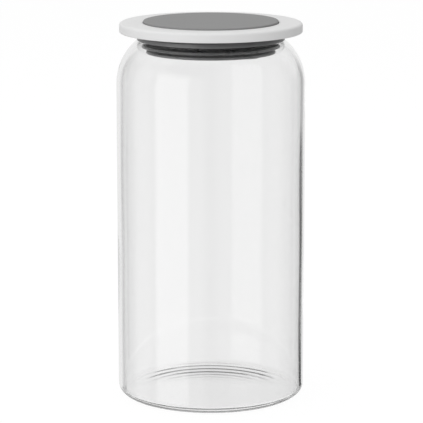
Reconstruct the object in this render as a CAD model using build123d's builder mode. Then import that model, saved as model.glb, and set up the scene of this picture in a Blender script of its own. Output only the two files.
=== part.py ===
from build123d import *
import os
from math import cos, pi, sin, sqrt

os.makedirs("parts", exist_ok=True)

# A vacuum seal canister: a blown glass jar, and a lid whose wide top pad works a shallow air pump.
# Millimetres, +Z up, origin at the centre of the foot ring that the jar stands on, valves along X.

# Glass jar
jar_radius = 52.5
jar_wall = 2.7
jar_base_thickness = 3.6
base_corner_radius = 4.7
inner_corner_radius = 2.8
foot_ring_width = 1.8
punt_rise = 2.4
floor_rise = 1.3
shoulder_start = 176.5
shoulder_radius = 30.9
shoulder_rise = 24.7
rim_land = 1.75
rim_edge_radius = 0.4

# Silicone gasket: a collar that sits on the rim, with two fins below it inside the mouth
gasket_seat_thickness = 1.2
gasket_band_height = 3.95
gasket_lip_overhang = 0.95
gasket_lip_drop = 0.4
gasket_lip_bead = 0.35
gasket_lip_edge_radius = 0.2
gasket_upstand = 1.75
gasket_core_wall = 1.2
gasket_foot = 0.1
fin_reach = 3.3
fin_thickness = 1.5
fin_droop = 0.5
fin_edge_radius = 0.5
fin_pitch = 3.0
fin_radius_step = 1.5
mouth_clearance = 0.3
shoulder_clearance = 0.6

# Lid base: brim floor, pad well, pump cylinder and its floor in one moulding
base_flange_thickness = 1.6
base_wall = 1.5
well_wall = 1.4
step_thickness = 1.5
plug_lip = 0.8
plug_lip_height = 0.8
floor_recess = 0.6
cylinder_lead = 1.0
lead_chamfer = 0.4
underside_rib_count = 6
underside_rib_width = 1.2
base_edge_radius = 0.3

# Lid ring: the pale brim around the pad
brim_overhang = 9.65
ring_wall = 2.0
ring_deck = 1.8
ring_top_edge_radius = 1.5
ring_lower_edge_radius = 0.6
ring_hole_edge_radius = 0.3
ring_seam = 0.2

# Press pad: a silicone cap stretched over the piston's table
pad_thickness = 1.25
pad_skirt = 1.1
pad_lip = 1.0
pad_lip_thickness = 0.5
pad_edge_radius = 0.45
pad_proud = 1.0
pad_gap = 0.3
pad_well_gap = 0.2

# Pump: piston, stem and stroke
stroke = 4.1
press_clearance = 0.5
piston_gap = 0.4
piston_wall = 1.6
plate_thickness = 1.5
table_thickness = 1.2
groove_foot = 0.8
groove_height = 1.9
groove_depth = 1.7
groove_cap = 0.7
dome_wall = 1.4
dome_clearance = 0.4
piston_rib_count = 8
piston_rib_width = 1.2
rib_notch_width = 2.0
rib_notch_depth = 0.8
side_vent_radius = 0.8
side_vent_drop = 2.8
stem_radius = 2.6
stem_fit = 0.1
barb_height = 1.2
barb_overlap = 0.75
barb_lead = 0.5
barb_clearance = 0.3
barb_side_clearance = 0.15
stem_slot_width = 1.0
stem_slot_length = 4.5
boss_wall = 1.5
boss_lip_height = 1.2

# Piston seal: a lip ring in the piston's groove
seal_slip = 0.1
seal_heel_inset = 0.5
seal_valley_depth_share = 0.5
seal_lip_land = 0.3
snug = 0.05

# Return spring
spring_wire = 0.9
spring_turns = 6
spring_gap = 0.8
spring_end_pitch = 1.35

# Umbrella valves: the same one in the floor and in the piston
valve_radius = 5.2
valve_rim_thickness = 0.4
valve_crown = 1.2
valve_stem_radius = 1.25
valve_barb_radius = 1.9
valve_barb_height = 0.9
valve_tail = 0.4
vent_count = 6
vent_radius = 0.7
vent_cover = 1.1
hat_pocket_clearance = 0.4
hat_pocket_headroom = 0.4
hat_wall = 1.4

# Inlet filter: a slotted cap clipped on a collar under the floor
socket_inner_radius = 6.2
socket_wall = 1.0
socket_height = 1.2
filter_fit = 0.1
filter_wall = 1.0
filter_floor = 1.0
filter_depth = 3.2
filter_slot_width = 0.8
filter_slot_pitch = 1.8
filter_slot_count = 7
filter_slot_reach = 5.6
filter_edge_radius = 0.4
filter_clearance = 0.3

# Lid screws
screw_count = 6
screw_radius = 1.15
screw_head_radius = 2.1
screw_head_height = 1.4
screw_head_recess = 0.2
screw_hole_clearance = 0.05
screw_head_clearance = 0.3
screw_cover = 0.8
screw_slot_width = 0.6
screw_slot_depth = 0.6
screw_slot_length = 2.6
screw_head_edge_radius = 0.3
screw_boss_wall = 1.3
screw_boss_split = 1.1

# One overrun for all cuts and joins
overrun = 0.5

# Levels and radii worked out from the sizes above
inner_radius = jar_radius - jar_wall
foot_outer = jar_radius - base_corner_radius
foot_inner = foot_outer - foot_ring_width
floor_edge = inner_radius - inner_corner_radius
rim_height = shoulder_start + shoulder_rise
shoulder_centre = jar_radius - shoulder_radius
inner_shoulder_radius = shoulder_radius - jar_wall
rim_outer_radius = shoulder_centre + sqrt(shoulder_radius**2 - shoulder_rise**2)
mouth_radius = rim_outer_radius - rim_land
bore_bottom = shoulder_start + sqrt(inner_shoulder_radius**2 - (mouth_radius - shoulder_centre) ** 2)

lip_radius = rim_outer_radius + gasket_lip_overhang
well_outer = lip_radius - gasket_upstand
well_radius = well_outer - well_wall
upper_fin_radius = mouth_radius - mouth_clearance
lower_fin_radius = upper_fin_radius - fin_radius_step
core_radius = upper_fin_radius - fin_reach
plug_radius = core_radius - gasket_core_wall
cylinder_radius = plug_radius - base_wall
plug_lip_radius = plug_radius + plug_lip

underside = rim_height + gasket_band_height
step_bottom = rim_height + gasket_seat_thickness
cylinder_top = step_bottom + step_thickness
plate_bottom = cylinder_top - cylinder_lead - groove_height - groove_foot
floor_top = plate_bottom - stroke - press_clearance
floor_bottom = floor_top - base_wall
plug_bottom = floor_bottom - floor_recess
plug_lip_top = plug_bottom + plug_lip_height
pad_lip_bottom = cylinder_top + stroke + press_clearance
table_bottom = pad_lip_bottom + pad_lip_thickness
table_top = table_bottom + table_thickness
pad_top = table_top + pad_thickness
ring_top = pad_top - pad_proud
deck_underside = ring_top - ring_deck
flange_top = underside + base_flange_thickness

ring_radius = lip_radius + brim_overhang
ring_inner = ring_radius - ring_wall
flange_radius = ring_inner - ring_seam
pad_hole_radius = well_radius - pad_well_gap
pad_radius = pad_hole_radius - pad_gap
table_radius = pad_radius - pad_skirt

piston_radius = cylinder_radius - piston_gap
groove_radius = piston_radius - groove_depth
groove_bottom = plate_bottom + groove_foot
groove_top = groove_bottom + groove_height
thick_inner = groove_radius - piston_wall
thick_top = groove_top + groove_cap
wall_inner = piston_radius - piston_wall
plate_top = plate_bottom + plate_thickness

barb_radius = stem_radius + barb_overlap
boss_bore = barb_radius + barb_side_clearance
boss_radius = boss_bore + boss_wall
boss_lip_bore = stem_radius + stem_fit
barb_top = floor_top + barb_clearance + barb_height + stroke
barb_bottom = barb_top - barb_height
boss_top = barb_top + boss_lip_height
dome_underside = boss_top + dome_clearance + stroke
dome_top = dome_underside + dome_wall
spring_radius = boss_radius + spring_gap + spring_wire / 2
dome_inner = spring_radius + spring_wire / 2 + spring_gap
dome_outer = dome_inner + dome_wall

valve_offset = (dome_outer + thick_inner) / 2
vent_circle_radius = valve_radius - vent_cover - vent_radius
hat_pocket_radius = valve_radius + hat_pocket_clearance
hat_pocket_depth = valve_barb_height + valve_tail + hat_pocket_headroom
hat_ceiling = plate_bottom + hat_pocket_depth
hat_top = hat_ceiling + hat_wall
socket_outer_radius = socket_inner_radius + socket_wall
filter_bore = socket_outer_radius + filter_fit
filter_radius = filter_bore + filter_wall
filter_bottom = floor_bottom - filter_depth
screw_circle = (well_outer + ring_inner) / 2
screw_hole_radius = screw_radius + screw_hole_clearance
screw_boss_radius = screw_head_radius + screw_head_clearance + screw_boss_wall
boss_split = deck_underside - screw_boss_split
screw_seat = underside + screw_head_recess + screw_head_height
screw_tip = ring_top - screw_cover
counterbore_radius = screw_head_radius + screw_head_clearance
piston_rib_turn = 180 / piston_rib_count
underside_rib_turn = 180 / underside_rib_count


def stem_and_vents():
    """The hole for a valve's stem, and the ring of vents that its disc covers."""
    Circle(valve_stem_radius + snug)
    with PolarLocations(vent_circle_radius, vent_count):
        Circle(vent_radius)


# The glass jar is one outline of even wall, drawn in at the shoulder and ground flat at the rim.
with BuildPart() as glass_jar:
    with BuildSketch(Plane.XZ):
        with BuildLine():
            TangentArc((0, punt_rise), (foot_inner, 0), tangent=(1, 0))
            Line((foot_inner, 0), (foot_outer, 0))
            TangentArc((foot_outer, 0), (jar_radius, base_corner_radius), tangent=(1, 0))
            Line((jar_radius, base_corner_radius), (jar_radius, shoulder_start))
            TangentArc((jar_radius, shoulder_start), (rim_outer_radius, rim_height), tangent=(0, 1))
            Line((rim_outer_radius, rim_height), (mouth_radius, rim_height))
            Line((mouth_radius, rim_height), (mouth_radius, bore_bottom))
            TangentArc((inner_radius, shoulder_start), (mouth_radius, bore_bottom), tangent=(0, 1))
            Line((inner_radius, shoulder_start), (inner_radius, jar_base_thickness + inner_corner_radius))
            TangentArc(
                (floor_edge, jar_base_thickness),
                (inner_radius, jar_base_thickness + inner_corner_radius),
                tangent=(1, 0),
            )
            TangentArc((0, jar_base_thickness + floor_rise), (floor_edge, jar_base_thickness), tangent=(1, 0))
            Line((0, jar_base_thickness + floor_rise), (0, punt_rise))
        make_face()
    revolve(axis=Axis.Z)
    fillet(glass_jar.edges().group_by(Axis.Z)[-1], radius=rim_edge_radius)
glass_jar.part.label = "glass_jar"
export_step(glass_jar.part, "parts/glass_jar.step")

# The lid ring is a shell: a deck round the pad, an outer wall, and screw posts under the deck.
with BuildPart() as lid_ring:
    with BuildSketch(Plane.XZ):
        with BuildLine():
            Polyline(
                (pad_hole_radius, ring_top),
                (ring_radius, ring_top),
                (ring_radius, underside),
                (ring_inner, underside),
                (ring_inner, deck_underside),
                (pad_hole_radius, deck_underside),
                close=True,
            )
        make_face()
    revolve(axis=Axis.Z)
    ring_edges = lid_ring.edges().filter_by(GeomType.CIRCLE)
    top_edges = ring_edges.group_by(Axis.Z)[-1].sort_by(SortBy.RADIUS)
    lower_edges = ring_edges.group_by(Axis.Z)[0].sort_by(SortBy.RADIUS)
    fillet(top_edges[-1], radius=ring_top_edge_radius)
    fillet(top_edges[0], radius=ring_hole_edge_radius)
    fillet(lower_edges[-1], radius=ring_lower_edge_radius)
    with BuildSketch(Plane.XY.offset(boss_split)):
        with PolarLocations(screw_circle, screw_count):
            Circle(screw_boss_radius)
    extrude(until=Until.NEXT)
    with BuildSketch(Plane.XY.offset(boss_split)):
        with PolarLocations(screw_circle, screw_count):
            Circle(screw_hole_radius)
    extrude(amount=screw_tip + snug - boss_split, mode=Mode.SUBTRACT)
lid_ring.part.label = "lid_ring"
export_step(lid_ring.part, "parts/lid_ring.step")

# The lid base closes the brim from below and drops into the mouth as the pump's cylinder.
with BuildPart() as lid_base:
    with BuildSketch(Plane.XZ):
        with BuildLine():
            Polyline(
                (well_radius, deck_underside),
                (well_outer, deck_underside),
                (well_outer, flange_top),
                (flange_radius, flange_top),
                (flange_radius, underside),
                (well_outer, underside),
                (well_outer, step_bottom),
                (plug_radius, step_bottom),
                (plug_radius, plug_lip_top),
                (plug_lip_radius, plug_lip_top),
                (plug_lip_radius, plug_bottom),
                (cylinder_radius, plug_bottom),
                (cylinder_radius, floor_bottom),
                (0, floor_bottom),
                (0, floor_top),
                (cylinder_radius, floor_top),
                (cylinder_radius, cylinder_top),
                (well_radius, cylinder_top),
                close=True,
            )
        make_face()
    revolve(axis=Axis.Z)
    bore_edges = lid_base.edges().filter_by(GeomType.CIRCLE).filter_by(
        lambda edge: abs(edge.radius - cylinder_radius) < snug and abs(edge.center().Z - cylinder_top) < snug
    )
    chamfer(bore_edges, length=lead_chamfer)
    lip_edges = lid_base.edges().filter_by(GeomType.CIRCLE).filter_by(
        lambda edge: abs(edge.radius - plug_lip_radius) < snug
    )
    fillet(lip_edges, radius=base_edge_radius)
    with BuildSketch(Plane.XZ):
        with BuildLine():
            Polyline(
                (boss_radius, floor_top - overrun),
                (boss_radius, boss_top),
                (boss_lip_bore, boss_top),
                (boss_lip_bore, barb_top),
                (boss_bore, barb_top),
                (boss_bore, floor_top - overrun),
                close=True,
            )
        make_face()
    revolve(axis=Axis.Z)
    with BuildSketch(Plane.XY.offset(floor_bottom)):
        with PolarLocations((boss_radius + cylinder_radius) / 2, underside_rib_count, underside_rib_turn):
            Rectangle(cylinder_radius - boss_radius + overrun, underside_rib_width)
        with Locations((valve_offset, 0)):
            Circle(filter_radius + filter_clearance, mode=Mode.SUBTRACT)
    extrude(amount=-floor_recess)
    with BuildSketch(Plane.XY.offset(floor_bottom)):
        with Locations((valve_offset, 0)):
            Circle(socket_outer_radius)
            Circle(socket_inner_radius, mode=Mode.SUBTRACT)
    extrude(amount=-socket_height)
    with BuildSketch(Plane.XY.offset(floor_bottom)):
        with Locations((valve_offset, 0)):
            stem_and_vents()
    extrude(amount=base_wall, mode=Mode.SUBTRACT)
    with BuildSketch(Plane.XY.offset(flange_top)):
        with PolarLocations(screw_circle, screw_count):
            Circle(screw_boss_radius)
    extrude(amount=boss_split - flange_top)
    with BuildSketch(Plane.XY.offset(underside)):
        with PolarLocations(screw_circle, screw_count):
            Circle(counterbore_radius)
    extrude(amount=screw_seat - underside, mode=Mode.SUBTRACT)
    with BuildSketch(Plane.XY.offset(screw_seat)):
        with PolarLocations(screw_circle, screw_count):
            Circle(screw_hole_radius)
    extrude(amount=boss_split - screw_seat, mode=Mode.SUBTRACT)
lid_base.part.label = "lid_base"
export_step(lid_base.part, "parts/lid_base.step")


def fin_points(tip_radius, tip_bottom):
    """The four corners of one fin, from its root below to its root above."""
    return [
        (core_radius, tip_bottom + fin_droop),
        (tip_radius, tip_bottom),
        (tip_radius, tip_bottom + fin_thickness),
        (core_radius, tip_bottom + fin_thickness + fin_droop),
    ]


# The gasket wraps the step of the base, rests on the glass rim, and reaches down with its fins.
lower_fin_bottom = plug_lip_top + gasket_foot - fin_droop
upper_fin_bottom = lower_fin_bottom + fin_pitch
lip_bottom = rim_height - gasket_lip_drop
with BuildPart() as lid_gasket:
    with BuildSketch(Plane.XZ) as gasket_section:
        with BuildLine():
            Polyline(
                (plug_radius + snug, plug_lip_top),
                (core_radius, plug_lip_top),
                *fin_points(lower_fin_radius, lower_fin_bottom),
                *fin_points(upper_fin_radius, upper_fin_bottom),
                (core_radius, rim_height),
                (lip_radius - shoulder_clearance, rim_height),
                (lip_radius, lip_bottom),
                (lip_radius - gasket_lip_bead, step_bottom),
                (lip_radius - gasket_lip_bead, underside),
                (well_outer + snug, underside),
                (well_outer + snug, step_bottom),
                (plug_radius + snug, step_bottom),
                close=True,
            )
        make_face()
        fin_tips = gasket_section.vertices().filter_by(
            lambda corner: min(abs(corner.X - upper_fin_radius), abs(corner.X - lower_fin_radius)) < snug
        )
        fillet(fin_tips, radius=fin_edge_radius)
        lip_tip = gasket_section.vertices().sort_by(Axis.X)[-1]
        fillet(lip_tip, radius=gasket_lip_edge_radius)
    revolve(axis=Axis.Z)
lid_gasket.part.label = "lid_gasket"
export_step(lid_gasket.part, "parts/lid_gasket.step")

# The press pad is a soft cap that grips the edge of the piston's table.
with BuildPart() as press_pad:
    with BuildSketch(Plane.XZ):
        with BuildLine():
            Polyline(
                (0, table_top),
                (table_radius + snug, table_top),
                (table_radius + snug, table_bottom),
                (pad_radius - pad_skirt - pad_lip, table_bottom),
                (pad_radius - pad_skirt - pad_lip, pad_lip_bottom),
                (pad_radius, pad_lip_bottom),
                (pad_radius, pad_top),
                (0, pad_top),
                close=True,
            )
        make_face()
    revolve(axis=Axis.Z)
    fillet(press_pad.edges().filter_by(GeomType.CIRCLE).group_by(Axis.Z)[-1], radius=pad_edge_radius)
press_pad.part.label = "press_pad"
export_step(press_pad.part, "parts/press_pad.step")

# The piston is one ribbed moulding: pressure plate, grooved wall, table, spring dome and snap stem.
with BuildPart() as pump_piston:
    with BuildSketch(Plane.XZ):
        with BuildLine():
            Polyline(
                (dome_inner, plate_bottom),
                (piston_radius, plate_bottom),
                (piston_radius, table_bottom),
                (table_radius, table_bottom),
                (table_radius, table_top),
                (wall_inner, table_top),
                (wall_inner, thick_top),
                (thick_inner, thick_top),
                (thick_inner, plate_top),
                (dome_outer, plate_top),
                (dome_outer, table_top),
                (dome_inner, table_top),
                (dome_inner, dome_top),
                (0, dome_top),
                (0, barb_bottom),
                (barb_radius - barb_lead, barb_bottom),
                (barb_radius, barb_bottom + barb_lead),
                (barb_radius, barb_top),
                (stem_radius, barb_top),
                (stem_radius, dome_underside),
                (dome_inner, dome_underside),
                close=True,
            )
        make_face()
    revolve(axis=Axis.Z)
    with BuildSketch(Plane.XY.offset(plate_top)):
        with PolarLocations((dome_outer + wall_inner) / 2, piston_rib_count, piston_rib_turn):
            Rectangle(wall_inner - dome_outer + overrun, piston_rib_width)
    extrude(amount=table_top - plate_top)
    with BuildSketch(Plane.XY.offset(table_top)):
        with PolarLocations((dome_outer + wall_inner) / 2, piston_rib_count, piston_rib_turn):
            Rectangle(rib_notch_width, piston_rib_width + overrun)
    extrude(amount=-rib_notch_depth, mode=Mode.SUBTRACT)
    with BuildSketch(Plane.XZ):
        with Locations((groove_radius + groove_depth, groove_bottom + groove_height / 2)):
            Rectangle(2 * groove_depth, groove_height)
    revolve(axis=Axis.Z, mode=Mode.SUBTRACT)
    with BuildSketch(Plane.XY.offset(plate_bottom)):
        with PolarLocations(valve_offset, 2):
            Circle(hat_pocket_radius + hat_wall)
    extrude(amount=hat_top - plate_bottom)
    with BuildSketch(Plane.XY.offset(plate_bottom)):
        with PolarLocations(valve_offset, 2):
            Circle(hat_pocket_radius)
    extrude(amount=hat_pocket_depth, mode=Mode.SUBTRACT)
    with BuildSketch(Plane.XY.offset(hat_ceiling)):
        with Locations((-valve_offset, 0)):
            stem_and_vents()
    extrude(amount=hat_wall, mode=Mode.SUBTRACT)
    with BuildSketch(Plane.YZ):
        with Locations((0, (barb_bottom + barb_bottom + stem_slot_length) / 2)):
            Rectangle(stem_slot_width, stem_slot_length)
    extrude(amount=barb_radius, both=True, mode=Mode.SUBTRACT)
    for cell in range(piston_rib_count):
        turn = 2 * pi * cell / piston_rib_count
        outward = Vector(cos(turn), sin(turn), 0)
        start = outward * (wall_inner - overrun) + Vector(0, 0, table_bottom - side_vent_drop)
        with BuildSketch(Plane(start, z_dir=outward)):
            Circle(side_vent_radius)
        extrude(amount=piston_wall + overrun * 2, mode=Mode.SUBTRACT)
pump_piston.part.label = "pump_piston"
export_step(pump_piston.part, "parts/pump_piston.step")

# The piston seal is a lip ring that opens upwards and wipes the cylinder.
seal_inner = groove_radius + snug
seal_heel = piston_radius - seal_heel_inset
seal_lip = cylinder_radius - seal_slip
seal_bottom = groove_bottom + snug
seal_top = groove_top - snug
seal_height = seal_top - seal_bottom
seal_valley = (seal_inner + seal_lip) / 2
with BuildPart() as piston_seal:
    with BuildSketch(Plane.XZ):
        with BuildLine():
            Polyline(
                (seal_inner, seal_bottom),
                (seal_heel, seal_bottom),
                (seal_lip, seal_top - seal_height * seal_valley_depth_share),
                (seal_lip, seal_top - seal_lip_land),
                (seal_lip - seal_lip_land, seal_top),
                (seal_valley, seal_bottom + seal_height * seal_valley_depth_share),
                (seal_inner + seal_lip_land, seal_top),
                (seal_inner, seal_top),
                close=True,
            )
        make_face()
    revolve(axis=Axis.Z)
piston_seal.part.label = "piston_seal"
export_step(piston_seal.part, "parts/piston_seal.step")

# Two umbrella valves, one through the floor and one through the piston: a domed disc and a barbed stem.
valve_seats = {
    "inlet_valve": (valve_offset, floor_top, base_wall),
    "outlet_valve": (-valve_offset, hat_top, hat_wall),
}
for valve_name, (place, seat, plate) in valve_seats.items():
    valve_rim = seat + valve_rim_thickness
    barb_level = seat - plate - snug
    tail = barb_level - valve_barb_height - valve_tail
    with BuildPart() as umbrella_valve:
        with BuildSketch(Plane((place, 0, 0), x_dir=(1, 0, 0), z_dir=(0, -1, 0))):
            with BuildLine():
                TangentArc((0, seat + valve_crown), (valve_radius, valve_rim), tangent=(1, 0))
                Polyline(
                    (valve_radius, valve_rim),
                    (valve_radius, seat),
                    (valve_stem_radius, seat),
                    (valve_stem_radius, barb_level),
                    (valve_barb_radius, barb_level),
                    (valve_stem_radius, barb_level - valve_barb_height),
                    (valve_stem_radius, tail),
                    (0, tail),
                    (0, seat + valve_crown),
                )
            make_face()
        revolve(axis=Axis((place, 0, 0), (0, 0, 1)))
    umbrella_valve.part.label = valve_name
    export_step(umbrella_valve.part, f"parts/{valve_name}.step")

# The filter is a cap with parallel slots that shields the inlet valve from what the jar holds.
with BuildPart() as inlet_filter:
    with BuildSketch(Plane.XY.offset(filter_bottom)):
        with Locations((valve_offset, 0)):
            Circle(filter_radius)
    extrude(amount=filter_depth)
    with BuildSketch(Plane.XY.offset(filter_bottom + filter_floor)):
        with Locations((valve_offset, 0)):
            Circle(filter_bore)
    extrude(amount=filter_depth - filter_floor, mode=Mode.SUBTRACT)
    fillet(inlet_filter.edges().group_by(Axis.Z)[0], radius=filter_edge_radius)
    with BuildSketch(Plane.XY.offset(filter_bottom)):
        with Locations((valve_offset, 0)):
            with GridLocations(filter_slot_pitch, 0, filter_slot_count, 1):
                Rectangle(filter_slot_width, 2 * filter_radius)
            Circle(filter_slot_reach, mode=Mode.INTERSECT)
    extrude(amount=filter_floor, mode=Mode.SUBTRACT)
inlet_filter.part.label = "inlet_filter"
export_step(inlet_filter.part, "parts/inlet_filter.step")

# Self-tapping screws come up through the base into the ring's posts.
with BuildPart() as lid_screws:
    with BuildSketch(Plane.XY.offset(screw_seat)):
        with PolarLocations(screw_circle, screw_count):
            Circle(screw_head_radius)
    extrude(amount=-screw_head_height)
    fillet(lid_screws.edges().group_by(Axis.Z)[0], radius=screw_head_edge_radius)
    with BuildSketch(Plane.XY.offset(screw_seat)):
        with PolarLocations(screw_circle, screw_count):
            Circle(screw_radius)
    extrude(amount=screw_tip - screw_seat)
    with BuildSketch(Plane.XY.offset(screw_seat - screw_head_height)):
        with PolarLocations(screw_circle, screw_count):
            Rectangle(screw_slot_length, screw_slot_width)
            Rectangle(screw_slot_width, screw_slot_length)
    extrude(amount=screw_slot_depth, mode=Mode.SUBTRACT)
lid_screws.part.label = "lid_screws"
export_step(lid_screws.part, "parts/lid_screws.step")

# The return spring is one wire, with a slower climb in its first and last turns.
spring_bottom = floor_top + spring_wire / 2
spring_climb = dome_underside - floor_top - spring_wire
active_pitch = (spring_climb - 2 * spring_end_pitch) / (spring_turns - 2)


def coil_height(turn):
    """Height of the wire's centre after so many turns."""
    slow = min(turn, 1) + max(turn - spring_turns + 1, 0)
    return spring_bottom + slow * spring_end_pitch + (turn - slow) * active_pitch


def coil_point(turn):
    """A point on the wire's centre line."""
    angle = 2 * pi * turn
    return Vector(spring_radius * cos(angle), spring_radius * sin(angle), coil_height(turn))


def coil_direction(turn, step):
    """The wire's direction, with the climb averaged over the turns beside the point."""
    before = max(turn - step, 0)
    after = min(turn + step, spring_turns)
    climb = (coil_height(after) - coil_height(before)) / (after - before)
    angle = 2 * pi * turn
    run = 2 * pi * spring_radius
    return Vector(-sin(angle) * run, cos(angle) * run, climb).normalized()


def biarc_joint(start, start_direction, end, end_direction):
    """The point where two tangent arcs of equal reach meet between two ends."""
    chord = end - start
    both = start_direction + end_direction
    spread = 2 * (1 - start_direction.dot(end_direction))
    along = chord.dot(both)
    reach = (sqrt(along**2 + spread * chord.dot(chord)) - along) / spread
    return (start + start_direction * reach + end - end_direction * reach) * (1 / 2)


spans_per_turn = 4
quarter = 1 / spans_per_turn
span_count = spring_turns * spans_per_turn
with BuildPart() as return_spring:
    with BuildLine() as coil:
        for span in range(span_count):
            here, there = span * quarter, (span + 1) * quarter
            first, last = coil_point(here), coil_point(there)
            heading = coil_direction(here, quarter)
            joint = biarc_joint(first, heading, last, coil_direction(there, quarter))
            leading_arc = TangentArc(first, joint, tangent=heading)
            TangentArc(joint, last, tangent=leading_arc % 1)
    with BuildSketch(Plane(coil.line @ 0, z_dir=coil.line % 0)):
        Circle(spring_wire / 2)
    sweep()
return_spring.part.label = "return_spring"
export_step(return_spring.part, "parts/return_spring.step")

samples = [coil_point(step * quarter / 2) for step in range(2 * span_count + 1)]
least_gap = min(
    (samples[later] - samples[earlier]).length
    for earlier in range(len(samples))
    for later in range(earlier + spans_per_turn, len(samples))
)
print("least gap of the spring to itself", round(least_gap - spring_wire, 3))
print("overall height", round(pad_top, 3), "brim radius", round(ring_radius, 3))
print("mouth radius", round(mouth_radius, 3), "pad radius", round(pad_radius, 3))
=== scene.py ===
from collections import namedtuple
from math import atan2, cos, hypot, pi, radians, sin, sqrt, tan

import bmesh
import bpy
from mathutils import Matrix, Vector


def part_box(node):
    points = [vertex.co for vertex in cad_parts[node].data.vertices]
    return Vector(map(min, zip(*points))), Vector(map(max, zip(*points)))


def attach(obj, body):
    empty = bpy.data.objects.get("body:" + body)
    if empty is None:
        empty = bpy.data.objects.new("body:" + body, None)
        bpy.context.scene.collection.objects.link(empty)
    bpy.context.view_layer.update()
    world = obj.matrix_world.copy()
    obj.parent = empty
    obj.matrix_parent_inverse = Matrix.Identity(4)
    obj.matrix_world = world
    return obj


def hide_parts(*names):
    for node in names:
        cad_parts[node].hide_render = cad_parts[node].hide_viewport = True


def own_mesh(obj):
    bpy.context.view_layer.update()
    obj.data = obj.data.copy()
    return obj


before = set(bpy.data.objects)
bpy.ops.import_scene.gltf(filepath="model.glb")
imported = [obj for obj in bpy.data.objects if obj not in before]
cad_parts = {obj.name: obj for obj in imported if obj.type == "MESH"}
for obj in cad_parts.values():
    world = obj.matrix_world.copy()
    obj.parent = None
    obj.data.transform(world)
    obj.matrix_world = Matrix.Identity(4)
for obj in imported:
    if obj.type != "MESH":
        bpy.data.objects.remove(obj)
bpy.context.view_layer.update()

# A vacuum seal canister on a white table: a clear glass jar, and a lid with a soft grey press pad.
# Metres, +Z up, the jar's foot at the origin and the camera on the -Y side.

MM = 0.001

# Sizes read from the frame
jar_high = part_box("glass_jar")[1]
ring_low, ring_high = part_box("lid_ring")
pad_low, pad_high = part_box("press_pad")
gasket_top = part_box("lid_gasket")[1].z
plug_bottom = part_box("lid_base")[0].z
spring_low, spring_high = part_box("return_spring")
jar_radius = jar_high.x
rim_height = jar_high.z
ring_radius = ring_high.x
ring_top = ring_high.z
ring_bottom = ring_low.z
pad_radius = pad_high.x
pad_top = pad_high.z
pad_bottom = pad_low.z

# Glass jar
jar_wall = 2.7 * MM
base_thickness = 3.6 * MM
base_corner = 5.6 * MM
inner_corner = 1.0 * MM
foot_width = 0.9 * MM
punt_rise = 2.4 * MM
floor_rise = 1.0 * MM
shoulder_radius = 30.9 * MM
shoulder_rise = 24.7 * MM
rim_land = 1.75 * MM
rim_edge = 0.4 * MM

# Sway of the jar's inner wall: its size, and waves as turns round, radians up the height and a start
wall_sway = 0.025 * MM
wall_waves = ((3, 9, 0), (5, -14, 1.3))

# Gasket
seat_thickness = 1.2 * MM
lip_overhang = 0.95 * MM
lip_drop = 0.4 * MM
lip_bead = 0.35 * MM
lip_flare = 0.25 * MM
lip_flare_height = 0.5 * MM
lip_edge = 0.2 * MM
shoulder_clearance = 0.6 * MM
upstand = 1.75 * MM
core_wall = 0.7 * MM
foot_gap = 0.1 * MM
fin_reach = 3.8 * MM
fin_thickness = 1.5 * MM
fin_droop = 0.5 * MM
fin_pitch = 3.0 * MM
fin_step = 2.4 * MM
fin_edge = 0.5 * MM
mouth_clearance = 0.3 * MM
plug_lip_height = 0.8 * MM
snug = 0.05 * MM

# Painted light: how far the gasket's ribs, band and lip are painted lighter on their outer faces, from 0 to 1
lower_fin_painted_light = 0.8
upper_fin_painted_light = 0.32
band_painted_light = 0.25
lip_painted_light = 1.0

# Radii that the jar, the gasket and the ring share
shoulder_centre = jar_radius - shoulder_radius
rim_outer = shoulder_centre + sqrt(shoulder_radius**2 - shoulder_rise**2)
mouth_radius = rim_outer - rim_land
lip_radius = rim_outer + lip_overhang

# Lid ring
ring_wall = 2.0 * MM
ring_deck = 1.8 * MM
ring_top_edge = 1.5 * MM
ring_lower_edge = 0.6 * MM
ring_hole_edge = 0.3 * MM
pad_gap = 0.3 * MM
ring_inner = ring_radius - ring_wall
post_count = 6
post_circle = (lip_radius - upstand + ring_inner) / 2
post_radius = 3.7 * MM
post_hole_radius = 1.2 * MM
post_height = 1.1 * MM
post_root = 0.3 * MM

# Press pad
pad_thickness = 1.25 * MM
pad_skirt = 1.1 * MM
pad_lip = 1.0 * MM
pad_lip_thickness = 0.5 * MM
pad_edge = 0.55 * MM

# Return spring
spring_wire = 0.9 * MM
spring_turns = 6
spring_end_pitch = 1.35 * MM

# How finely the pieces are cut, and how near two points become one
EDGE_STEPS = 8
CORNER_STEPS = 16
DOME_STEPS = 24
SHOULDER_STEPS = 36
WALL_STEPS = 60
FOOT_STEPS = 2
PAD_STEPS = 4
POST_STEPS = 48
WIRE_STEPS = 16
TURN_STEPS = 64
LATHE_STEPS = 256
MERGE_DISTANCE = 0.001 * MM


def linear(colour):
    """An sRGB hex colour as linear red, green, blue and alpha."""
    shares = [int(colour[place:place + 2], 16) / 255 for place in (1, 3, 5)]
    return (*[s / 12.92 if s <= 0.04045 else ((s + 0.055) / 1.055) ** 2.4 for s in shares], 1)


def add(tree, kind, inputs=None, **settings):
    """Adds a node with its settings; inputs holds values, or sockets to link from."""
    node = tree.nodes.new("ShaderNode" + kind)
    for name, value in settings.items():
        setattr(node, name, value)
    for name, value in (inputs or {}).items():
        if isinstance(value, bpy.types.NodeSocket):
            tree.links.new(value, node.inputs[name])
        else:
            node.inputs[name].default_value = value
    return node


def blank_material(name):
    """A new material with an empty node tree, and that tree."""
    material = bpy.data.materials.new(name)
    material.use_nodes = True
    material.node_tree.nodes.clear()
    return material, material.node_tree


def speckle(tree, size, detail, fineness=(1, 1, 1)):
    """Noise over the object: its grains are about size across, and finer along an axis by its fineness."""
    place = add(tree, "TexCoord").outputs["Object"]
    scaled = add(tree, "Mapping", {"Vector": place, "Scale": fineness}).outputs["Vector"]
    return add(tree, "TexNoise", {"Vector": scaled, "Scale": 1 / size, "Detail": detail}).outputs["Fac"]


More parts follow.
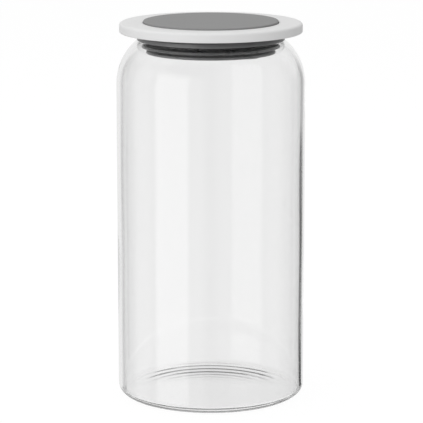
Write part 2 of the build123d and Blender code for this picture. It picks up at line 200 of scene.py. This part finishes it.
# Noise mostly stays between these, and a finish's gloss changes over that range.
NOISE_LOW = 0.3
NOISE_HIGH = 0.7


def moulded(
    name, colour, dark_colour, roughness, grain, grain_depth, cloud,
    gloss_spread=0.03, specular=0.5, painted_light_colour=None,
):
    """A moulded surface: fine grain in relief, and slow changes of tone and gloss over cloud's size.

    With a colour for painted light, an attribute on the piece says how far its faces are painted lighter, as
    painted light.
    """
    material, tree = blank_material(name)
    clouds = speckle(tree, cloud, detail=3.0)
    fine = speckle(tree, grain, detail=3.0)
    tone = add(tree, "Mix", {0: clouds, 6: linear(dark_colour), 7: linear(colour)}, data_type="RGBA")
    # Painted light: faces mix toward the lighter colour as far as the piece's attribute says.
    if painted_light_colour:
        painted_light = add(tree, "Attribute", attribute_name="painted_light").outputs["Fac"]
        painted_lit_tone = linear(painted_light_colour)
        tone = add(tree, "Mix", {0: painted_light, 6: tone.outputs[2], 7: painted_lit_tone}, data_type="RGBA")
    gloss = add(tree, "MapRange", {
        "Value": clouds, "From Min": NOISE_LOW, "From Max": NOISE_HIGH,
        "To Min": roughness - gloss_spread, "To Max": roughness + gloss_spread,
    })
    relief = add(tree, "Bump", {"Height": fine, "Strength": 1.0, "Distance": grain_depth})
    surface = add(tree, "BsdfPrincipled", {
        "Base Color": tone.outputs[2], "Roughness": gloss.outputs["Result"],
        "Specular IOR Level": specular, "Normal": relief.outputs["Normal"],
    })
    add(tree, "OutputMaterial", {"Surface": surface.outputs["BSDF"]})
    return material


def steel(name, colour, roughness, mark_length, mark_depth=0.01 * MM, gloss_spread=0.06):
    """Bright stainless steel with faint marks that run round it, four times as long as they are wide."""
    material, tree = blank_material(name)
    marks = speckle(tree, mark_length, detail=2.0, fineness=(1, 1, 4))
    gloss = add(tree, "MapRange", {
        "Value": marks, "From Min": NOISE_LOW, "From Max": NOISE_HIGH,
        "To Min": roughness - gloss_spread, "To Max": roughness + gloss_spread,
    })
    relief = add(tree, "Bump", {"Height": marks, "Strength": 1.0, "Distance": mark_depth})
    surface = add(tree, "BsdfPrincipled", {
        "Base Color": linear(colour), "Metallic": 1.0, "Roughness": gloss.outputs["Result"],
        "Normal": relief.outputs["Normal"],
    })
    add(tree, "OutputMaterial", {"Surface": surface.outputs["BSDF"]})
    return material


def blown_glass(name, colour, ior, ripple_width, ripple_depth):
    """Smooth clear glass with shallow ripples, drawn out down the piece to three times their width."""
    material, tree = blank_material(name)
    ripples = speckle(tree, ripple_width, detail=1.0, fineness=(1, 1, 0.3))
    relief = add(tree, "Bump", {"Height": ripples, "Strength": 1.0, "Distance": ripple_depth})
    surface = add(tree, "BsdfPrincipled", {
        "Base Color": linear(colour), "Roughness": 0.0, "IOR": ior, "Transmission Weight": 1.0,
        "Normal": relief.outputs["Normal"],
    })
    add(tree, "OutputMaterial", {"Surface": surface.outputs["BSDF"]})
    return material


class Section:
    """One half of a turned piece's cross-section in the XZ plane, drawn point by point."""

    def __init__(self, radius, height):
        self.mesh = bmesh.new()
        self.first = self.last = self.mesh.verts.new((radius, 0, height))
        self.corners = []

    def line(self, radius, height, pieces=1, corner=0.0):
        """A straight run, cut into equal pieces; corner rounds its far end later."""
        start, end = self.last.co.copy(), Vector((radius, 0, height))
        for step in range(1, pieces + 1):
            point = self.mesh.verts.new(start.lerp(end, step / pieces))
            self.mesh.edges.new((self.last, point))
            self.last = point
        if corner:
            self.corners.append((point, corner))

    def arc(self, centre_radius, centre_height, angle, steps, corner=0.0):
        """An arc about a centre; a positive angle turns from +X towards +Z."""
        turned = bmesh.ops.spin(
            self.mesh, geom=[self.last], cent=(centre_radius, 0, centre_height), axis=(0, -1, 0),
            angle=angle, steps=steps,
        )
        self.last = next(part for part in turned["geom_last"] if isinstance(part, bmesh.types.BMVert))
        if corner:
            self.corners.append((self.last, corner))

    def close(self):
        """Joins the last point to the first."""
        self.mesh.edges.new((self.last, self.first))

    def round_corners(self):
        """Rounds each marked corner to its radius; a profile of 0.5 is a circle's."""
        for point, radius in self.corners:
            one, other = [(edge.other_vert(point).co - point.co).normalized() for edge in point.link_edges]
            reach = radius / tan(one.angle(other) / 2)
            bmesh.ops.bevel(
                self.mesh, geom=[point], offset=reach, offset_type="OFFSET", segments=EDGE_STEPS,
                profile=0.5, affect="VERTICES", material=-1,
            )

    def turn(self, name):
        """Spins the section round the Z axis into a closed mesh object with outward faces."""
        self.round_corners()
        mesh = self.mesh
        bmesh.ops.spin(
            mesh, geom=mesh.verts[:] + mesh.edges[:], cent=(0, 0, 0), axis=(0, 0, 1),
            angle=2 * pi, steps=LATHE_STEPS, use_merge=True,
        )
        bmesh.ops.remove_doubles(mesh, verts=mesh.verts[:], dist=MERGE_DISTANCE)
        bmesh.ops.recalc_face_normals(mesh, faces=mesh.faces[:])
        return make_object(name, mesh)


def make_object(name, mesh):
    """A smooth-shaded object of a bmesh, with its place in its mesh."""
    data = bpy.data.meshes.new(name)
    mesh.to_mesh(data)
    mesh.free()
    data.shade_smooth()
    piece = bpy.data.objects.new(name, data)
    bpy.context.scene.collection.objects.link(piece)
    return piece


def dress(piece, body, node, material):
    """Puts a piece on its body in place of its node, with its material."""
    piece.data.materials.append(material)
    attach(piece, body)
    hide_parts(node)


def dome(half_width, rise):
    """Radius and half angle of a dome that rises so far over half its width."""
    return (half_width**2 + rise**2) / (2 * rise), 2 * atan2(rise, half_width)


def make_jar():
    """The glass jar: one closed shell with an outer and an inner face, and a ground rim."""
    inner_radius = jar_radius - jar_wall
    foot_outer = jar_radius - base_corner
    foot_inner = foot_outer - foot_width
    shoulder_start = rim_height - shoulder_rise
    inner_shoulder = shoulder_radius - jar_wall
    outer_sweep = atan2(shoulder_rise, rim_outer - shoulder_centre)
    inner_rise = sqrt(inner_shoulder**2 - (mouth_radius - shoulder_centre) ** 2)
    inner_sweep = atan2(inner_rise, mouth_radius - shoulder_centre)
    punt_radius, punt_sweep = dome(foot_inner, punt_rise)
    floor_edge = inner_radius - inner_corner
    floor_radius, floor_sweep = dome(floor_edge, floor_rise)
    section = Section(0, punt_rise)
    section.arc(0, punt_rise - punt_radius, -punt_sweep, DOME_STEPS)
    section.line(foot_outer, 0, FOOT_STEPS)
    section.arc(foot_outer, base_corner, pi / 2, CORNER_STEPS)
    section.line(jar_radius, shoulder_start, WALL_STEPS)
    section.arc(shoulder_centre, shoulder_start, outer_sweep, SHOULDER_STEPS, corner=rim_edge)
    section.line(mouth_radius, rim_height, corner=rim_edge)
    section.line(mouth_radius, shoulder_start + inner_rise)
    section.arc(shoulder_centre, shoulder_start, -inner_sweep, SHOULDER_STEPS)
    section.line(inner_radius, base_thickness + inner_corner, WALL_STEPS)
    section.arc(floor_edge, base_thickness + inner_corner, -pi / 2, CORNER_STEPS)
    section.arc(0, base_thickness + floor_rise - floor_radius, floor_sweep, DOME_STEPS)
    section.close()
    jar = section.turn("jar_of_clear_glass")
    sway_inner_wall(jar, inner_radius)
    return jar


def sway_inner_wall(jar, inner_radius):
    """Moves the inner face of the straight wall a little, as blown glass is never quite even."""
    for vertex in jar.data.vertices:
        x, y, z = vertex.co
        reach = hypot(x, y)
        if inner_radius - inner_corner <= reach <= inner_radius + jar_wall / 2:
            angle = atan2(y, x)
            rise = z / rim_height
            sway = sum(sin(turns * angle + climb * rise + start) for turns, climb, start in wall_waves)
            scale = 1 + wall_sway * sway / reach
            vertex.co.x = x * scale
            vertex.co.y = y * scale


def make_ring():
    """The pale brim: a deck round the pad, a wall that hangs from its edge, and the screw posts."""
    hole = pad_radius + pad_gap
    deck_underside = ring_top - ring_deck
    section = Section(hole, deck_underside)
    section.line(hole, ring_top, corner=ring_hole_edge)
    section.line(ring_radius, ring_top, corner=ring_top_edge)
    section.line(ring_radius, ring_bottom, corner=ring_lower_edge)
    section.line(ring_inner, ring_bottom)
    section.line(ring_inner, deck_underside, corner=ring_hole_edge)
    section.close()
    ring = section.turn("brim_ring")
    mesh = bmesh.new()
    add_posts(mesh, deck_underside)
    mesh.from_mesh(ring.data)
    mesh.to_mesh(ring.data)
    mesh.free()
    ring.data.shade_smooth()
    return ring


def add_posts(mesh, deck_underside):
    """The six posts under the deck that the screws cut their threads in, in a mesh that is still empty."""
    first = Vector((post_circle + post_hole_radius, 0, deck_underside + post_root))
    across = Vector((post_radius - post_hole_radius, 0, 0))
    down = Vector((0, 0, -post_height - post_root))
    corners = (first, first + across, first + across + down, first + down)
    wall = [mesh.verts.new(corner) for corner in corners]
    edges = [mesh.edges.new((wall[number - 1], wall[number])) for number in range(len(wall))]
    bmesh.ops.spin(
        mesh, geom=wall + edges, cent=(post_circle, 0, 0), axis=(0, 0, 1),
        angle=2 * pi, steps=POST_STEPS, use_merge=True,
    )
    copies = post_count - 1
    bmesh.ops.spin(
        mesh, geom=mesh.verts[:] + mesh.edges[:] + mesh.faces[:], cent=(0, 0, 0), axis=(0, 0, 1),
        angle=2 * pi * copies / post_count, steps=copies, use_duplicate=True,
    )
    bmesh.ops.recalc_face_normals(mesh, faces=mesh.faces[:])


def make_pad():
    """The soft cap, with a skirt and a lip that grip the piston's table below it."""
    grip_radius = pad_radius - pad_skirt
    lip_top = pad_bottom + pad_lip_thickness
    underside = pad_top - pad_thickness
    section = Section(0, pad_top)
    section.line(pad_radius / 2, pad_top, PAD_STEPS)
    section.line(pad_radius, pad_top, 2 * PAD_STEPS, corner=pad_edge)
    section.line(pad_radius, pad_bottom)
    section.line(grip_radius - pad_lip, pad_bottom)
    section.line(grip_radius - pad_lip, lip_top)
    section.line(grip_radius, lip_top)
    section.line(grip_radius, underside)
    section.line(0, underside, PAD_STEPS)
    section.close()
    return section.turn("soft_press_pad")


def make_gasket():
    """The seal: a band under the brim, a drooping lip on the rim, and two fins inside the mouth."""
    band_radius = lip_radius - lip_bead
    upper_fin_radius = mouth_radius - mouth_clearance
    lower_fin_radius = upper_fin_radius - fin_step
    core_radius = upper_fin_radius - fin_reach
    plug_radius = core_radius - core_wall + snug
    well_outer = lip_radius - upstand + snug
    seat_top = rim_height + seat_thickness
    lip_bottom = rim_height - lip_drop
    foot = plug_bottom + plug_lip_height
    section = Section(plug_radius, foot)
    section.line(core_radius, foot)
    for fin, tip_radius in enumerate((lower_fin_radius, upper_fin_radius)):
        tip_bottom = foot + foot_gap - fin_droop + fin * fin_pitch
        section.line(core_radius, tip_bottom + fin_droop)
        section.line(tip_radius, tip_bottom, corner=fin_edge)
        section.line(tip_radius, tip_bottom + fin_thickness, corner=fin_edge)
        section.line(core_radius, tip_bottom + fin_thickness + fin_droop)
    section.line(core_radius, rim_height)
    section.line(lip_radius - shoulder_clearance, rim_height)
    section.line(lip_radius, lip_bottom, corner=lip_edge)
    section.line(lip_radius - lip_flare, lip_bottom + lip_flare_height)
    section.line(band_radius, seat_top)
    section.line(band_radius, gasket_top)
    section.line(well_outer, gasket_top)
    section.line(well_outer, seat_top)
    section.line(plug_radius, seat_top)
    section.close()
    gasket = section.turn("finned_gasket")
    lower_fin_top = foot + foot_gap + fin_thickness
    # Painted light on the outer faces of the ribs, band and lip, lightest on the lip and the lower rib.
    paint_light(gasket, fin_edge, [
        (lower_fin_radius, foot - fin_droop, lower_fin_top, lower_fin_painted_light),
        (upper_fin_radius, lower_fin_top, rim_height - fin_thickness, upper_fin_painted_light),
        (band_radius, lip_bottom, gasket_top, band_painted_light),
        (lip_radius, lip_bottom - lip_edge, rim_height + lip_edge, lip_painted_light),
    ])
    return gasket


def paint_light(piece, depth, edges):
    """Paints light on the piece: says how far each face is painted lighter, as painted light.

    Each edge is a radius, the heights it runs between and its amount, which fades to none over the depth.
    """
    painted_light = piece.data.attributes.new("painted_light", "FLOAT", "POINT")
    for vertex, share in zip(piece.data.vertices, painted_light.data):
        reach = hypot(vertex.co.x, vertex.co.y)
        for radius, low, high, amount in edges:
            if low <= vertex.co.z <= high:
                nearness = min(1, max(0, 1 - (radius - reach) / depth))
                share.value = max(share.value, amount * nearness)


def make_spring():
    """The return spring: one round wire wound upward, closer in its first and last turns."""
    coil_radius = spring_high.x - spring_wire / 2
    start = Matrix.Translation((coil_radius, 0, spring_low.z + spring_wire / 2))
    active_turns = spring_turns - 2
    active_climb = spring_high.z - spring_low.z - spring_wire - 2 * spring_end_pitch
    mesh = bmesh.new()
    bmesh.ops.create_circle(
        mesh, segments=WIRE_STEPS, radius=spring_wire / 2, matrix=start @ Matrix.Rotation(pi / 2, 4, "X"),
    )
    wire = mesh.verts[:] + mesh.edges[:]
    for turns, climb in ((1, spring_end_pitch), (active_turns, active_climb), (1, spring_end_pitch)):
        steps = turns * TURN_STEPS
        wound = bmesh.ops.spin(
            mesh, geom=wire, cent=(0, 0, 0), axis=(0, 0, 1), dvec=(0, 0, climb / steps),
            angle=2 * pi * turns, steps=steps,
        )
        wire = wound["geom_last"]
    bmesh.ops.holes_fill(mesh, edges=mesh.edges[:])
    bmesh.ops.recalc_face_normals(mesh, faces=mesh.faces[:])
    return make_object("coiled_return_spring", mesh)


# Finishes. Real mould grain and drawing marks are under 0.1 mm, too fine for the picture, so they are
# drawn at 0.3 to 0.5 mm.

# Borosilicate, blown and fire polished: thin bright walls, grey or dark where a wall is seen edge on.
clear_glass = blown_glass(
    "clear_glass", "#F7F7F7", ior=1.47, ripple_width=30 * MM, ripple_depth=0.03 * MM,
)

# ABS moulded against a fine satin tool: an even white that rolls softly into shade and never glares.
satin_abs = moulded(
    "satin_abs", "#E5E5E5", "#E1E1E1", roughness=0.5, grain=0.5 * MM, grain_depth=0.004 * MM,
    cloud=25 * MM, specular=0.35,
)

# Silicone moulded against a blasted tool: a flat mid grey, soft to look at, with a wide weak sheen.
matt_silicone = moulded(
    "matt_silicone", "#8E8E8E", "#868686", roughness=0.62, grain=0.4 * MM, grain_depth=0.01 * MM,
    cloud=18 * MM, specular=0.35,
)

# Silicone moulded against a smooth tool: glossy on its ribs; a near black that stays in the folds as painted
# shade.
# On the gasket, the outer faces of its ribs, band and lip are painted lighter, as painted light.
satin_silicone = moulded(
    "satin_silicone", "#2C2C2D", "#262627", roughness=0.3, grain=0.3 * MM, grain_depth=0.006 * MM,
    cloud=12 * MM, specular=0.8, painted_light_colour="#8B8B8C",
)

# Polypropylene moulded against a satin tool: a slightly waxy white with soft highlights.
satin_polypropylene = moulded(
    "satin_polypropylene", "#E2E3E2", "#DCDDDC", roughness=0.48, grain=0.5 * MM, grain_depth=0.006 * MM,
    cloud=20 * MM,
)

# Polypropylene with no colour added, moulded against a plain tool: a duller and greyer white.
plain_polypropylene = moulded(
    "plain_polypropylene", "#D6D7D6", "#CDCECD", roughness=0.5, grain=0.5 * MM, grain_depth=0.008 * MM,
    cloud=15 * MM,
)

# Silicone with no colour added, moulded thin: milky and smooth, glossier than the plastic round it.
milky_silicone = moulded(
    "milky_silicone", "#CFD0CE", "#C2C3C1", roughness=0.4, grain=0.3 * MM, grain_depth=0.004 * MM,
    cloud=6 * MM,
)

# Polypropylene with a little grey: matt, so that the filter reads as a piece of its own.
grey_polypropylene = moulded(
    "grey_polypropylene", "#C9CACA", "#BFC0C0", roughness=0.5, grain=0.4 * MM, grain_depth=0.008 * MM,
    cloud=8 * MM,
)

# Stainless steel, cold headed and tumbled: bright, with a slight blur in each glint.
stainless_screw = steel("stainless_screw", "#C9C8C6", roughness=0.28, mark_length=0.4 * MM)

# Stainless wire, drawn and coiled: bright, with fine marks that break up its glints.
drawn_spring_wire = steel("drawn_spring_wire", "#BDBBB8", roughness=0.3, mark_length=0.3 * MM)

# The pieces that are made here. The glass casts no shadow of its own, as thin clear glass hardly does.
jar_piece = make_jar()
dress(jar_piece, "jar", "glass_jar", clear_glass)
jar_piece.visible_shadow = False
dress(make_ring(), "lid", "lid_ring", satin_abs)
dress(make_gasket(), "lid", "lid_gasket", satin_silicone)
dress(make_pad(), "plunger", "press_pad", matt_silicone)

# The spring gets a mesh of its own.
spring = make_spring()
dress(spring, "lid", "return_spring", drawn_spring_wire)
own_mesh(spring)

# The frame's own nodes that stay, and their finishes
node_finishes = {
    "lid_base": satin_polypropylene,
    "pump_piston": plain_polypropylene,
    "piston_seal": satin_silicone,
    "inlet_valve": milky_silicone,
    "outlet_valve": milky_silicone,
    "inlet_filter": grey_polypropylene,
    "lid_screws": stainless_screw,
}
for node, material in node_finishes.items():
    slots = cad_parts[node].data.materials
    slots.clear()
    slots.append(material)

# Studio. What is seen straight on, or through glass, stays white. Rough surfaces get plain soft light.
# What glass and gloss mirror is a pale room: its own level, panels that raise or lower it, and a floor.
room_level = 0.46
soft_level = 0.58
floor_level = 0.98

# The floor shows from the first of these angles down, and fully from the second.
floor_start = radians(-19)
floor_full = radians(-30)

# A panel's sides in degrees round from straight behind, plus to the right; its ends in degrees above the
# horizon; the half widths of its soft edges; and the level that it adds. An end above 90 has no edge.
Panel = namedtuple("Panel", "left right low high side_blur end_blur level")
wall_behind = Panel(left=-34, right=23, low=-60, high=25, side_blur=3, end_blur=8, level=0.40)
left_wall = Panel(left=-98, right=-43, low=-60, high=25, side_blur=5, end_blur=8, level=0.22)
right_window = Panel(left=23, right=60, low=4, high=25, side_blur=4, end_blur=4, level=0.30)
ceiling = Panel(left=-110, right=60, low=25, high=120, side_blur=10, end_blur=8, level=0.22)
narrow_soft_box = Panel(left=-152, right=-108, low=-60, high=30, side_blur=3, end_blur=10, level=0.95)
broad_soft_box = Panel(left=-172, right=-72, low=-60, high=30, side_blur=8, end_blur=10, level=0.45)
dark_card = Panel(left=25, right=33, low=-20, high=-10, side_blur=1.2, end_blur=0.6, level=-room_level)
room_panels = (
    wall_behind, left_wall, right_window, ceiling, narrow_soft_box, broad_soft_box, dark_card,
)

# The table, and the even glow and share of real shade that the eye sees on it
tabletop_radius = 4.0
tabletop_sides = 64
tabletop_drop = 0.05 * MM
tabletop_glow = 0.935
tabletop_shade = 0.09

# Camera, as fitted to the photograph, whose lens is given in the photograph's own pixels
photo_width = 423
photo_focal_length = 2277
camera_distance = 1.280
camera_elevation = radians(11.694)
camera_focus = Vector((0.33 * MM, 0, 103.53 * MM))
camera_sensor = 36

# Light goes on for this many bounces in glass, and through this many transparent faces.
glass_bounces = 64
clear_bounces = 12

# A threshold between no bounce and one
HALF_BOUNCE = 0.5


def ray_kinds(tree):
    """1 where a ray comes straight from the camera, through glass or not, and 1 where it was mirrored."""
    path = add(tree, "LightPath").outputs
    mirrorings = path["Glossy Depth"]
    unturned = add(tree, "Math", {0: mirrorings, 1: HALF_BOUNCE}, operation="LESS_THAN").outputs[0]
    scatterings = path["Diffuse Depth"]
    unspread = add(tree, "Math", {0: scatterings, 1: HALF_BOUNCE}, operation="LESS_THAN").outputs[0]
    through = add(tree, "Math", {0: path["Is Transmission Ray"], 1: unturned}, operation="MULTIPLY")
    plain = add(tree, "Math", {0: through.outputs[0], 1: unspread}, operation="MULTIPLY")
    seen = add(tree, "Math", {0: path["Is Camera Ray"], 1: plain.outputs[0]}, operation="MAXIMUM")
    turned = add(tree, "Math", {0: mirrorings, 1: HALF_BOUNCE}, operation="GREATER_THAN")
    mirrored = add(tree, "Math", {0: turned.outputs[0], 1: path["Is Glossy Ray"]}, operation="MULTIPLY")
    return seen.outputs[0], mirrored.outputs[0]


def window(tree, value, low, high, blur):
    """1 between low and high, falling softly to 0 over the blur on each side of both."""
    rise = add(tree, "MapRange", {
        "Value": value, "From Min": low - blur, "From Max": low + blur,
    }, interpolation_type="SMOOTHSTEP")
    fall = add(tree, "MapRange", {
        "Value": value, "From Min": high - blur, "From Max": high + blur, "To Min": 1.0, "To Max": 0.0,
    }, interpolation_type="SMOOTHSTEP")
    return add(tree, "Math", {0: rise.outputs[0], 1: fall.outputs[0]}, operation="MULTIPLY").outputs[0]


def make_world():
    """The surround: white to the eye, plain for soft light, and a room with panels for what mirrors."""
    world = bpy.data.worlds.new("studio")
    bpy.context.scene.world = world
    world.use_nodes = True
    world.cycles.sampling_method = "NONE"
    tree = world.node_tree
    tree.nodes.clear()
    seen, mirrored = ray_kinds(tree)
    direction = add(tree, "TexCoord").outputs["Generated"]
    right, back, up = add(tree, "SeparateXYZ", {0: direction}).outputs
    turn = add(tree, "Math", {0: right, 1: back}, operation="ARCTAN2").outputs[0]
    rise = add(tree, "Math", {0: up}, operation="ARCSINE").outputs[0]
    total = room_level
    for panel in room_panels:
        across = window(tree, turn, radians(panel.left), radians(panel.right), radians(panel.side_blur))
        along = window(tree, rise, radians(panel.low), radians(panel.high), radians(panel.end_blur))
        both = add(tree, "Math", {0: across, 1: along}, operation="MULTIPLY").outputs[0]
        sum_so_far = add(tree, "Math", {0: both, 1: panel.level, 2: total}, operation="MULTIPLY_ADD")
        total = sum_so_far.outputs[0]
    below = add(tree, "MapRange", {
        "Value": rise, "From Min": floor_full, "From Max": floor_start, "To Min": 1.0, "To Max": 0.0,
    }, interpolation_type="SMOOTHSTEP").outputs[0]
    room = add(tree, "Mix", {0: below, 2: total, 3: floor_level}, data_type="FLOAT").outputs[0]
    unseen = add(tree, "Mix", {0: mirrored, 2: soft_level, 3: room}, data_type="FLOAT").outputs[0]
    level = add(tree, "Mix", {0: seen, 2: unseen, 3: 1.0}, data_type="FLOAT").outputs[0]
    background = add(tree, "Background", {"Color": (1, 1, 1, 1), "Strength": level})
    add(tree, "OutputWorld", {"Surface": background.outputs[0]})


def make_table():
    """The white table. To the eye its light is mostly even, so that only a soft shadow shows."""
    bpy.ops.mesh.primitive_circle_add(
        vertices=tabletop_sides, radius=tabletop_radius, fill_type="NGON", location=(0, 0, -tabletop_drop),
    )
    table = bpy.context.object
    table.name = "table"
    material, tree = blank_material("white_table")
    seen, mirrored = ray_kinds(tree)
    plain = add(tree, "BsdfDiffuse", {"Color": linear("#E6E6E6")})
    shaded = add(tree, "BsdfDiffuse", {"Color": (tabletop_shade, tabletop_shade, tabletop_shade, 1)})
    glow = add(tree, "Emission", {"Color": (1, 1, 1, 1), "Strength": tabletop_glow})
    to_eye = add(tree, "AddShader", {0: shaded.outputs[0], 1: glow.outputs[0]})
    unmirrored = add(tree, "MixShader", {0: seen, 1: plain.outputs[0], 2: to_eye.outputs[0]})
    nothing = add(tree, "BsdfTransparent")
    surface = add(tree, "MixShader", {0: mirrored, 1: unmirrored.outputs[0], 2: nothing.outputs[0]})
    add(tree, "OutputMaterial", {"Surface": surface.outputs[0]})
    table.data.materials.append(material)


def soft_lamp(name, place, size, power):
    """A square area lamp aimed at the lid, for soft light alone: neither gloss nor glass shows it."""
    data = bpy.data.lights.new(name, "AREA")
    data.shape = "SQUARE"
    data.size = size
    data.energy = power
    lamp = bpy.data.objects.new(name, data)
    lamp.location = place
    lamp.rotation_euler = (Vector((0, 0, pad_top)) - Vector(place)).to_track_quat("-Z", "Y").to_euler()
    lamp.visible_glossy = False
    lamp.visible_camera = False
    lamp.visible_transmission = False
    bpy.context.scene.collection.objects.link(lamp)


def make_camera():
    """The camera, at the photograph's distance, height and lens."""
    data = bpy.data.cameras.new("camera")
    data.sensor_width = camera_sensor
    data.lens = camera_sensor * photo_focal_length / photo_width
    camera = bpy.data.objects.new("camera", data)
    back = Vector((0, -cos(camera_elevation), sin(camera_elevation)))
    camera.location = camera_focus + back * camera_distance
    camera.rotation_euler = (-back).to_track_quat("-Z", "Y").to_euler()
    bpy.context.scene.collection.objects.link(camera)
    bpy.context.scene.camera = camera


make_world()
make_table()
soft_lamp("key_lamp", place=(-0.62, -1.17, 0.54), size=0.5, power=5.0)
soft_lamp("top_lamp", place=(-0.2, 0.0, 1.7), size=1.2, power=8.4)
make_camera()

scene = bpy.context.scene
scene.view_settings.view_transform = "Standard"
scene.cycles.max_bounces = glass_bounces
scene.cycles.transmission_bounces = glass_bounces
scene.cycles.glossy_bounces = glass_bounces
scene.cycles.transparent_max_bounces = clear_bounces
scene.cycles.caustics_reflective = False
scene.cycles.caustics_refractive = True
